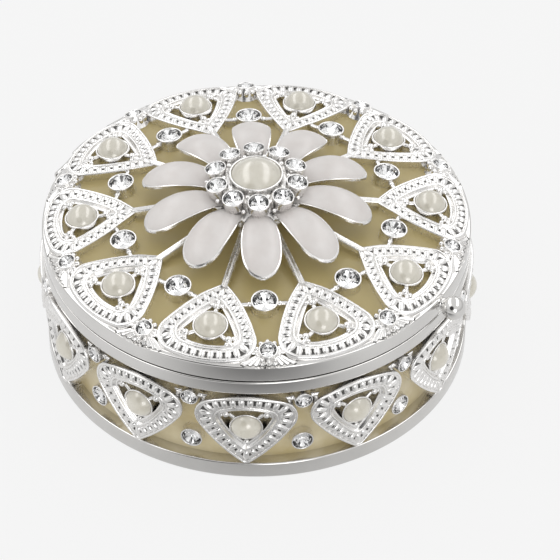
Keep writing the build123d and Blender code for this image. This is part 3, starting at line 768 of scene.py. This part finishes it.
def skirt():
    """Fluted apron that flares from a rim stone's cup down into the hollow of the lid rim; its lowest row is
    painted dark as a shadow line where it meets the rim.
    """
    down, across = np.meshgrid(np.linspace(0, 1, 9), np.linspace(-1, 1, 73), indexing="ij")
    x = across * (SKIRT_TOP_HALF + (SKIRT_FOOT_HALF - SKIRT_TOP_HALF) * down**0.8)
    z = SKIRT_TOP_Z + (rim_hollow(x) - 0.05 - SKIRT_TOP_Z) * down
    flute = SKIRT_RELIEF * np.cos(pi * SKIRT_FLUTES * across) * np.sqrt(down)
    r = SKIRT_TOP_R + (SKIRT_FOOT_R - SKIRT_TOP_R) * down + flute
    front = np.stack([x, -r, z], -1)
    points, faces = slab(front, front + np.array([0, SKIRT_THICK, -0.1]))
    rows, columns = down.shape
    # the lowest row of the top faces goes in the second slot: a painted shadow where the apron meets the rim
    foot = range((rows - 2) * (columns - 1), (rows - 1) * (columns - 1))
    return points, faces, [1 if i in foot else 0 for i in range(len(faces))]


def plinth():
    """Ring of small balls that a rim stone's cup stands on."""
    small = ball((PLINTH_BALL_R, PLINTH_BALL_R, PLINTH_BALL_R * 1.5), 10)
    place = Matrix.Translation((0, -PLINTH_R, -PLINTH_DROP))
    return Shape().repeat([small], around(PLINTH_BALLS), place).surface()


def stone_ties(cup_r, reach, drop):
    """Two short bars with a ball at the cup, along X below a stone cup."""
    shape = Shape()
    for way in (-1, 1):
        shape.add(rod((way * (cup_r - TIE_ROOT), 0, -drop), (way * reach, 0, -drop), TIE_R))
        shape.add(ball_at((way * (cup_r + TIE_ROOT), 0, -drop), TIE_BALL_R))
    return shape.surface()


def rib_outline():
    """Rib section: flat-bottomed with two rounded ridges and a groove between them."""
    w = RIB_HALF
    return [(-w, -0.45), (w, -0.45), (w, 0.1), (w * 0.86, 0.27), (w * 0.62, 0.33), (w * 0.36, 0.25),
            (0, 0.12), (-w * 0.36, 0.25), (-w * 0.62, 0.33), (-w * 0.86, 0.27), (-w, 0.1)]


def make_lid_filigree():
    """Ten frames, their settings and ribs, and the hub that carries the flower."""
    frame_parts = bent_frame(LID_EDGES, FRAME_TOP - LID_FLAT_TOP + 0.1, lay_on_lid)
    rib = bar((0, -RIB_IN_R, RIB_IN_Z), (0, -RIB_OUT_R, RIB_OUT_Z), rib_outline())
    pearl_seat = pearl_setting(LID_PEARL_R, LID_WELL_DEPTH, LID_STRUT_ENDS, LID_PRONGS)
    large = round_cup(LARGE_CUP_R, LARGE_STONE_R + STONE_PLAY, 1.6, 0.1)
    small = round_cup(RIM_CUP_R, RIM_STONE_R + STONE_PLAY, 1.7, 0.55)
    top = PETAL_FLAT_Z - PETAL_THICK
    hub = lathe([
        (0, LID_FLAT_TOP - 0.1), (HUB_WAIST_R + 0.5, LID_FLAT_TOP - 0.1), (HUB_WAIST_R, LID_FLAT_TOP + 0.5),
        (HUB_WAIST_R, LID_FLAT_TOP + 1.5), (HUB_R - 0.4, LID_FLAT_TOP + 2.1), (HUB_R, top - 0.4),
        (HUB_R, top), (0, top),
    ], 48)
    shape = Shape()
    shape.repeat([*frame_parts, rib], around(LID_FRAMES))
    shape.repeat([pearl_seat], around(LID_FRAMES), LID_PEARL_PLACE)
    shape.repeat([large, stone_ties(LARGE_CUP_R, 3.3, 0.8)], between(LID_FRAMES), LARGE_PLACE)
    shape.repeat([small, stone_ties(RIM_CUP_R, 2.6, 0.8), plinth()], between(LID_FRAMES), RIM_PLACE)
    shape.repeat([skirt()], between(LID_FRAMES))
    return shape.add(hub)


def make_body_filigree():
    """Twelve frames round the body with their pearl settings and the upper stone cups."""
    frame_parts = bent_frame(BODY_EDGES, BODY_FRAME_R - LINER_R + 0.1, lay_on_body)
    pearl_seat = pearl_setting(BODY_PEARL_R, BODY_WELL_DEPTH, BODY_STRUT_ENDS, BODY_PRONGS)
    upper = round_cup(UPPER_CUP_R, UPPER_STONE_R + STONE_PLAY, 2.0, 0.15)
    shape = Shape()
    shape.repeat(frame_parts, around(BODY_FRAMES))
    shape.repeat([pearl_seat], around(BODY_FRAMES), BODY_PEARL_PLACE)
    shape.repeat([upper, stone_ties(UPPER_CUP_R, 2.3, 1.0)], between(BODY_FRAMES), UPPER_PLACE)
    return shape


def make_lower_cups():
    cup = round_cup(LOWER_CUP_R, LOWER_STONE_R + STONE_PLAY, 1.4, 0.1)
    return Shape().repeat([cup], between(BODY_FRAMES), LOWER_PLACE)


def make_stones(radius, place, count):
    """Ring of stones, each seated a little below the edge of its cup."""
    seated = place @ Matrix.Translation((0, 0, -STONE_SET))
    return Shape().repeat([brilliant(radius)], between(count), seated)


def make_pearls(radius, rise, place, count):
    """Ring of half pearls, each standing in its bezel."""
    return Shape().repeat([dome(radius, rise, PEARL_FOOT)], around(count), place)


# ---- flower ----

def petal_height(radius):
    """Height of the petals' silver plate: level at the root, arched outside."""
    (x1, y1), (x2, y2), (x3, y3) = (
        (PETAL_ROOT_R, PETAL_FLAT_Z), (PETAL_CREST_R, PETAL_CREST_Z), (PETAL_TIP_R + 0.5, PETAL_TIP_Z - 0.5))
    cross = 2 * (x1 * (y2 - y3) + x2 * (y3 - y1) + x3 * (y1 - y2))
    squares = [x * x + y * y for x, y in ((x1, y1), (x2, y2), (x3, y3))]
    centre_x = (squares[0] * (y2 - y3) + squares[1] * (y3 - y1) + squares[2] * (y1 - y2)) / cross
    centre_y = (squares[0] * (x3 - x2) + squares[1] * (x1 - x3) + squares[2] * (x2 - x1)) / cross
    reach = hypot(x1 - centre_x, y1 - centre_y)
    return centre_y + np.sqrt(reach**2 - (np.maximum(radius, PETAL_ROOT_R) - centre_x) ** 2)


def petal_half(t):
    """Half width of a petal from its root at 0 to its tip at 1."""
    inner = 0.52 + 0.48 * np.sin(pi / 2 * np.clip(t / PETAL_WIDEST, 0, 1))
    outer = np.sqrt(np.clip(1 - np.clip((t - PETAL_WIDEST) / (1 - PETAL_WIDEST), 0, 1) ** 2.7, 0, 1))
    return PETAL_HALF * np.where(t < PETAL_WIDEST, inner, outer)


def petal_shell(inset, low, high):
    """Closed petal in front of the centre, between two heights over the petals' surface, thin at its edge."""
    t = 1 - np.cos(np.linspace(0, pi / 2, 27))
    t = 1 - t[::-1]
    t = np.concatenate([[0.0], t[1:-1], [0.997]])
    s = np.sin(np.linspace(-pi / 2, pi / 2, 17))
    length = PETAL_TIP_R - PETAL_ROOT_R - inset
    tt, ss = np.meshgrid(t, s, indexing="ij")
    half = np.maximum(petal_half(tt) - inset, 0.02)
    x, r = ss * half, PETAL_ROOT_R + tt * length
    base = petal_height(np.hypot(x, r)) - PETAL_CAMBER * (x / PETAL_HALF) ** 2
    swell = (1 - np.abs(ss) ** 5) * (1 - np.clip(tt, 0, 1) ** 12)
    upper = np.stack([x, -r, base + high * swell], -1)
    return slab(upper, np.stack([x, -r, base + low], -1))


def make_petal_plate():
    petal = petal_shell(0.0, -PETAL_THICK, 0.0)
    return Shape().repeat([petal], between(PETALS)).add(lathe([
        (0, PETAL_FLAT_Z - PETAL_THICK), (PETAL_ROOT_R + 1.0, PETAL_FLAT_Z - PETAL_THICK),
        (PETAL_ROOT_R + 1.1, PETAL_FLAT_Z - 0.1), (PETAL_ROOT_R + 0.9, PETAL_FLAT_Z + 0.02),
        (0, PETAL_FLAT_Z + 0.02),
    ], 60))


def make_petal_enamel():
    return Shape().repeat([petal_shell(ENAMEL_INSET, -0.1, ENAMEL_THICK)], between(PETALS))


def make_flower_crown():
    """Bezel for the centre pearl, ten stone cups round it and small beads between them."""
    shape = Shape()
    shape.add(lathe([
        (0, PETAL_FLAT_Z), (CROWN_BASE_R, PETAL_FLAT_Z), (CROWN_BASE_R, CROWN_BASE_TOP), (0, CROWN_BASE_TOP),
    ], 60))
    edge = arc(((BEZEL_R + BEZEL_BORE_R) / 2, BEZEL_TOP - 0.1), (BEZEL_R - BEZEL_BORE_R) / 2, 0, 180, 6)
    shape.add(lathe([(BEZEL_R, CROWN_BASE_TOP - 0.2)] + edge + [(BEZEL_BORE_R, CROWN_BASE_TOP - 0.2)], 72))
    cup = round_cup(CROWN_CUP_R, CROWN_STONE_R + STONE_PLAY, 1.6, -0.1)
    shape.repeat([cup], between(PETALS), CROWN_PLACE)
    beads = [ball_at((0, -ring, height), radius) for radius, ring, height in CROWN_BEADS]
    return shape.repeat(beads, around(PETALS))


def make_centre_pearl():
    seat = BEZEL_TOP - 0.15
    pearl = dome(CENTRE_PEARL_R, CENTRE_PEARL_RISE, seat - CROWN_BASE_TOP, 72)
    return Shape().add(pearl, Matrix.Translation((0, 0, seat)))


# ---- hinge and thumb ball ----

def leaf_plate(half_width, low, high, notch_half=0.0, notch_top=0.0):
    """Plate of a hinge leaf on the rim, with softened edges; its top is lower over the notch."""
    down, across = np.meshgrid(np.linspace(0, 1, 13), np.linspace(-1, 1, 61), indexing="ij")
    x = across * half_width
    top = np.where(np.abs(x) < notch_half, notch_top, high)
    z = low + (top - low) * down
    edge = np.minimum(np.minimum(half_width - np.abs(x), np.minimum(z - low, top - z)), LEAF_EDGE)
    soft = LEAF_EDGE - np.sqrt(np.clip(LEAF_EDGE**2 - (LEAF_EDGE - edge) ** 2, 0, None))
    outer = LEAF_R - soft
    front = np.stack([x, np.sqrt(outer**2 - x**2), z], -1)
    return slab(front, np.stack([x, np.sqrt((RIM_R - 0.05) ** 2 - x**2), z], -1))


def hinge_axis():
    """Place on the hinge with its Z along the axis."""
    return Matrix.Translation((0, HINGE_Y, HINGE_Z)) @ Matrix.Rotation(radians(90), 4, "Y")


def knuckle(start, end):
    """Barrel on the hinge axis with rounded ends, bored for the pin."""
    bore_r = PIN_R + PIN_CLEAR
    ring = [(bore_r, start), (KNUCKLE_R, start), (KNUCKLE_R, end), (bore_r, end)]
    return lathe(rounded(ring, KNUCKLE_EDGE, 3), 32)


def make_hinge_leaf(plate, barrels):
    knuckles = [knuckle(start, end) for start, end in barrels]
    return Shape().add(plate).repeat(knuckles, [hinge_axis()])


def make_hinge_pin():
    """Pin with slightly domed ends."""
    foot = KNUCKLE_OUT - PIN_DOME
    cap = [(PIN_R * cos(a), foot + PIN_DOME * sin(a)) for a in np.radians([0, 30, 60])] + [(0, KNUCKLE_OUT)]
    return Shape().add(lathe([(r, -z) for r, z in cap[::-1]] + cap, 24), hinge_axis())


def make_thumb_ball():
    """Ball on a short waisted neck with a small collar against the rim."""
    turned = Matrix.Translation((0, 0, BALL_Z)) @ Matrix.Rotation(radians(90), 4, "X")
    reach = -BALL_Y
    neck_meets = sqrt(BALL_R**2 - NECK_R**2)
    cap = arc((0, 0), BALL_R, degrees(atan2(-neck_meets, NECK_R)), 90, 24)
    cap = [(x, reach + y) for x, y in cap]
    cap[-1] = (0, reach + BALL_R)
    profile = [(0, NECK_END_R - 0.2), (NECK_R + 0.3, NECK_END_R - 0.2), (NECK_R + 0.3, NECK_END_R + 0.28),
               (NECK_R + 0.1, NECK_END_R + 0.4), (NECK_R, NECK_END_R + 0.5)] + cap
    return Shape().add(lathe(profile, 48), turned)


# ---- stage ----

def direction(azimuth, elevation):
    """Direction away from the object, from angles in degrees; azimuth 0 is the front."""
    a, e = radians(azimuth), radians(elevation)
    return Vector((sin(a) * cos(e), -cos(a) * cos(e), sin(e)))


def add_camera():
    back = direction(CAMERA_AZIMUTH, CAMERA_ELEVATION)
    data = bpy.data.cameras.new("camera")
    data.lens, data.sensor_width = CAMERA_LENS, 36.0
    data.clip_start, data.clip_end = 0.01, 20.0
    camera = bpy.data.objects.new("camera", data)
    bpy.context.scene.collection.objects.link(camera)
    camera.location = (Vector(CAMERA_AIM) + back * CAMERA_DISTANCE) * MM
    camera.rotation_mode = "QUATERNION"
    camera.rotation_quaternion = (-back).to_track_quat("-Z", "Y")
    bpy.context.scene.camera = camera


def mix_shaders(tree, share, first, second):
    """Mix of two shaders; the share is a number or another node's output."""
    node = new_node(tree, "MixShader", Fac=share)
    tree.links.new(first, node.inputs[1])
    tree.links.new(second, node.inputs[2])
    return node.outputs[0]


def for_each_ray(tree, camera, mirror, fill):
    """Shader that shows the camera, reflections and refractions, and all other rays each their own."""
    path = new_node(tree, "LightPath").outputs
    either = math(tree, "MAXIMUM", path["Is Glossy Ray"], path["Is Transmission Ray"])
    return mix_shaders(tree, path["Is Camera Ray"], mix_shaders(tree, either, fill, mirror), camera)


def add_floor():
    """Pale floor, greyer to the reflections in the metal than to the eye."""
    mesh = bpy.data.meshes.new("floor")
    corners = [(x * FLOOR_HALF * MM, y * FLOOR_HALF * MM, 0) for x, y in ((-1, -1), (1, -1), (1, 1), (-1, 1))]
    mesh.from_pydata(corners, [], [(0, 1, 2, 3)])
    floor = bpy.data.objects.new("floor", mesh)
    bpy.context.scene.collection.objects.link(floor)
    material = bpy.data.materials.new("floor_paper")
    material.use_nodes = True
    tree = material.node_tree
    tree.nodes.clear()
    paper = new_node(tree, "BsdfDiffuse", Color=(0.9, 0.9, 0.9, 1))
    pale = new_node(tree, "Emission", Color=BACKGROUND)
    seen = mix_shaders(tree, 0.9, paper.outputs[0], pale.outputs[0])
    card = direction(CAMERA_AZIMUTH, CAMERA_ELEVATION) * FLOOR_CARD_AWAY * MM
    place = new_node(tree, "TexCoord").outputs["Object"]
    away = math(tree, "DISTANCE", place, Vector((card.x, card.y, 0)), "VectorMath")
    shade = map_range(tree, away, *FLOOR_SHADE)
    grey, glow = new_node(tree, "BsdfDiffuse", Color=shade), new_node(tree, "Emission", Strength=shade)
    mirror = mix_shaders(tree, 0.6, grey.outputs[0], glow.outputs[0])
    fill = new_node(tree, "Emission", Strength=FILL).outputs[0]
    new_node(tree, "OutputMaterial", Surface=for_each_ray(tree, seen, mirror, fill))
    mesh.materials.append(material)


def add_world():
    """White studio: soft sky, two long soft boxes overhead, a low window, and a dark gap by the camera."""
    world = bpy.data.worlds.new("studio")
    bpy.context.scene.world = world
    world.use_nodes = True
    tree = world.node_tree
    tree.nodes.clear()
    place = new_node(tree, "TexCoord").outputs["Generated"]

    def towards(azimuth, elevation):
        there = direction(CAMERA_AZIMUTH + azimuth, elevation)
        return math(tree, "DOT_PRODUCT", place, there, "VectorMath")

    up, aside, away = towards(0, 90), towards(90, 0), towards(180, 0)
    slope = math(tree, "ABSOLUTE", math(tree, "DIVIDE", aside, up))
    strip = map_range(tree, slope, *STRIP_INNER)
    for value, shade in ((slope, STRIP_OUTER), (away, STRIP_END), (up, STRIP_FOOT)):
        strip = math(tree, "MULTIPLY", strip, map_range(tree, value, *shade))
    sky = math(tree, "ADD", map_range(tree, up, *SKY_SHADE), strip)
    for operation, (azimuth, elevation, *shade) in (("MULTIPLY", DARK_GAP), ("ADD", WINDOW)):
        sky = math(tree, operation, sky, map_range(tree, towards(azimuth, elevation), *shade))
    seen = new_node(tree, "Background", Color=BACKGROUND).outputs[0]
    mirror, fill = (
        new_node(tree, "Background", Color=(1, 1, 1, 1), Strength=value).outputs[0] for value in (sky, FILL))
    new_node(tree, "OutputWorld", Surface=for_each_ray(tree, seen, mirror, fill))


def paint_cad_nodes(finishes):
    """Give the CAD nodes that stay in sight their materials."""
    for node, material in finishes.items():
        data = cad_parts[node].data
        data.materials.clear()
        data.materials.append(material)


add_camera()
add_floor()
add_world()
bpy.context.scene.view_settings.view_transform = "Standard"

# The third material is painted shade for the frames' grooves and the skirts' feet.
silver, cast, shade_paint = polished_silver(), cast_silver(), painted_shade_silver()
# The lid lacquer is painted lighter inside 8 mm from the axis, fading out by 19 mm: painted light where the
# petals shade it.
lid_lacquer = gold_lacquer("lid_lacquer", (0.45, 0.365, 0.165), (0.58, 0.475, 0.22), 12.0, (8.0, 19.0))
body_lacquer = gold_lacquer("body_lacquer", (0.50, 0.40, 0.19), (0.68, 0.60, 0.41), 5.0)
glaze, enamel, glass, foil = pearl_glaze(), white_enamel(), crystal_glass(), stone_foil()

make_piece("foot_ring_band", make_foot_ring(), [silver], "base", ["foot_ring"])
make_piece("base_rim_band", make_base_rim(), [silver], "base", ["base_rim"])
make_piece("lid_rim_band", make_lid_rim(), [silver], "lid", ["lid_rim"])
make_piece("lid_liner_panel", make_lid_liner(), [lid_lacquer], "lid", ["lid_liner"], 30)
make_piece("body_openwork", make_body_filigree(), [cast, shade_paint], "base", ["body_filigree"])
make_piece("lower_cups", make_lower_cups(), [cast], "base", ["lower_stone_cups"])
make_piece("lid_openwork", make_lid_filigree(), [cast, shade_paint], "lid", ["lid_filigree"])

stone_rings = [
    ("body_upper_stones", UPPER_STONE_R, UPPER_PLACE, BODY_FRAMES, "base"),
    ("body_lower_stones", LOWER_STONE_R, LOWER_PLACE, BODY_FRAMES, "base"),
    ("lid_large_stones", LARGE_STONE_R, LARGE_PLACE, LID_FRAMES, "lid"),
    ("lid_rim_stones", RIM_STONE_R, RIM_PLACE, LID_FRAMES, "lid"),
    ("crown_stones", CROWN_STONE_R, CROWN_PLACE, PETALS, "lid"),
]
for node, radius, place, count, body in stone_rings:
    make_piece(node + "_cut", make_stones(radius, place, count), [glass, foil], body, [node], 0)

body_pearls = make_pearls(BODY_PEARL_R, BODY_PEARL_RISE, BODY_PEARL_PLACE, BODY_FRAMES)
lid_pearls = make_pearls(LID_PEARL_R, LID_PEARL_RISE, LID_PEARL_PLACE, LID_FRAMES)
make_piece("body_pearl_domes", body_pearls, [glaze], "base", ["body_pearls"])
make_piece("lid_pearl_domes", lid_pearls, [glaze], "lid", ["lid_pearls"])
make_piece("centre_pearl_dome", make_centre_pearl(), [glaze], "lid", ["centre_pearl"])

make_piece("petal_backs", make_petal_plate(), [cast], "lid", ["petal_plate"])
make_piece("petal_fronts", make_petal_enamel(), [enamel], "lid", ["petal_enamel"])
make_piece("crown_setting", make_flower_crown(), [cast], "lid", ["flower_crown"])
make_piece("thumb_knob", make_thumb_ball(), [silver], "lid", ["thumb_ball"])

base_plate = leaf_plate(KNUCKLE_OUT, BASE_LEAF_LOW, BASE_LEAF_TOP, KNUCKLE_IN, HINGE_Z - KNUCKLE_CLEAR_R)
base_leaf = make_hinge_leaf(base_plate, [(-KNUCKLE_OUT, -KNUCKLE_IN), (KNUCKLE_IN, KNUCKLE_OUT)])
lid_leaf = make_hinge_leaf(leaf_plate(LID_KNUCKLE_HALF, LID_LEAF_LOW, LID_LEAF_TOP),
                           [(-LID_KNUCKLE_HALF, LID_KNUCKLE_HALF)])
make_piece("base_leaf_plate", base_leaf, [silver], "base", ["base_hinge_leaf"])
make_piece("lid_leaf_plate", lid_leaf, [silver], "lid", ["lid_hinge_leaf"])
make_piece("hinge_pin_rod", make_hinge_pin(), [steel_pin()], "base", ["hinge_pin"])

paint_cad_nodes({
    "bottom_plate": silver, "body_liner": body_lacquer, "catch_bead": silver, "flower_rivet": silver,
})
